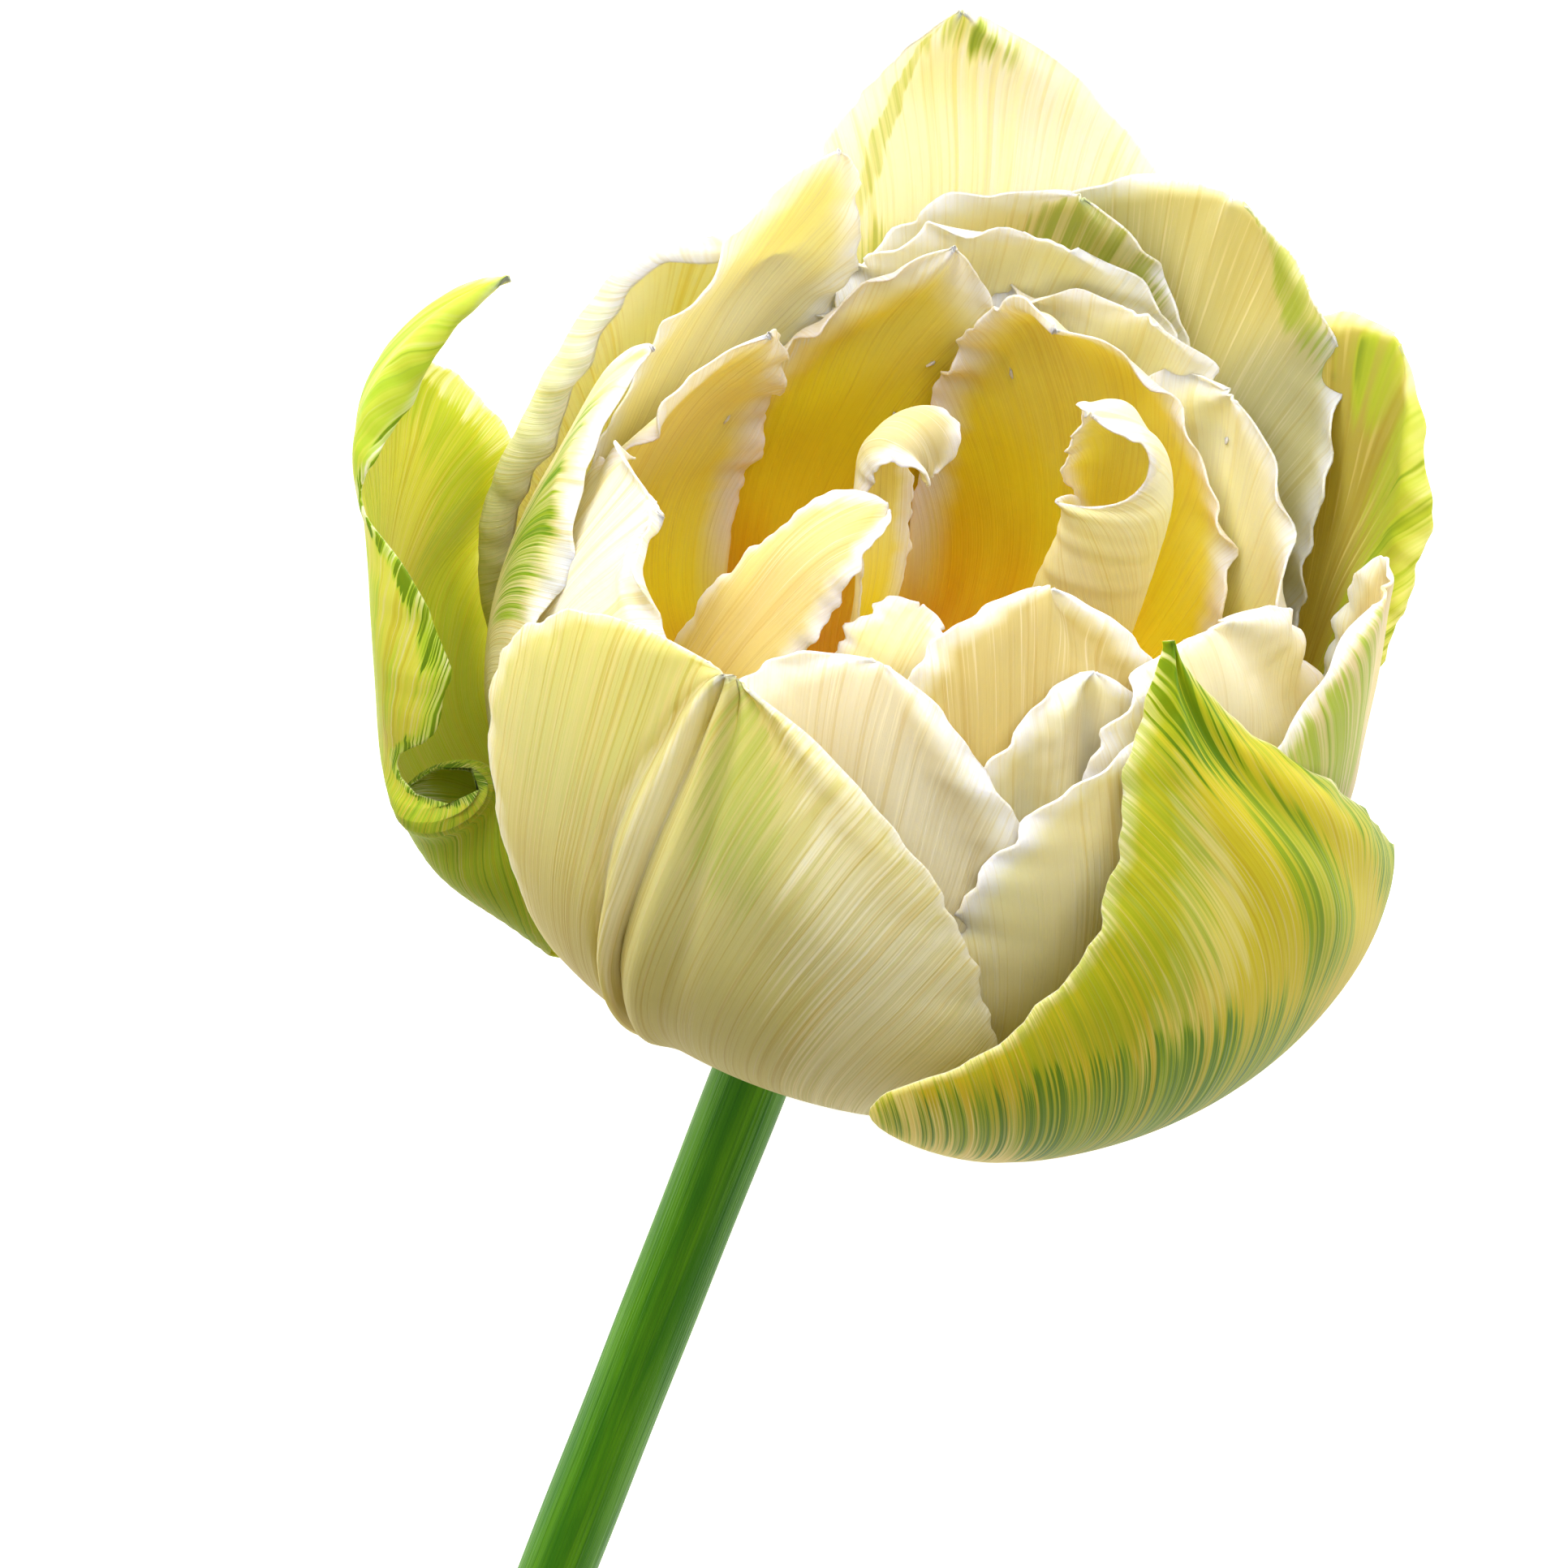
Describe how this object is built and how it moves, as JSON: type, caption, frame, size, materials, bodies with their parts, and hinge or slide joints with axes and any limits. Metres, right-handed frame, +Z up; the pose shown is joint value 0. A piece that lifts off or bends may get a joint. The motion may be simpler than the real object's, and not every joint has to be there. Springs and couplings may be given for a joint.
{
  "type": "double tulip",
  "caption": "Cut double tulip lying on its side: cream petals in many layers with green streaks and ruffled margins, a golden throat and one bare green stem.",
  "frame": {"origin": "on the table, under the middle of the flower's overall length and width", "axes": "+X from the cut end of the stem towards the mouth of the bloom, +Y across it, to the left for someone who looks from the stem to the bloom, and +Z up from the table"},
  "size_m": [0.2494, 0.0988, 0.0828],
  "materials": {
    "cream_petal": "satin, finely veined",
    "green_streaked_petal": "satin, finely veined",
    "golden_petal": "satin, finely veined",
    "stem": "satin",
    "pistil": "satin",
    "stamen": "matt"
  },
  "bodies": {
    "root": {"petal_front_right": "green_streaked_petal", "petal_left_curled": "green_streaked_petal", "petal_back_tall": "green_streaked_petal", "petal_front_left": "cream_petal", "petal_right_green_edge": "green_streaked_petal", "petal_left_back_rolled": "cream_petal", "petal_right_white": "cream_petal", "petal_back_right": "cream_petal", "petal_left_striped": "green_streaked_petal", "petal_front_white": "cream_petal", "petal_back_green_edge": "green_streaked_petal", "petal_left_ruffled": "cream_petal", "petal_front_inner": "cream_petal", "petal_back_fringed": "golden_petal", "petal_right_front_inner": "cream_petal", "petal_left_golden": "golden_petal", "petal_left_back_tall": "golden_petal", "petal_back_ruffled": "golden_petal", "petal_front_bulge": "cream_petal", "petal_right_pale": "golden_petal", "petal_back_inner": "golden_petal", "petal_front_cream": "golden_petal", "petal_right_curled_tip": "golden_petal", "petaloid_left_hooked": "golden_petal", "petaloid_left_narrow": "golden_petal", "petaloid_right_hooded": "golden_petal", "petaloid_front_small": "golden_petal", "stem": "stem", "pistil": "pistil", "stamen_1": "stamen", "stamen_2": "stamen", "stamen_3": "stamen"}
  },
  "joints": []
}
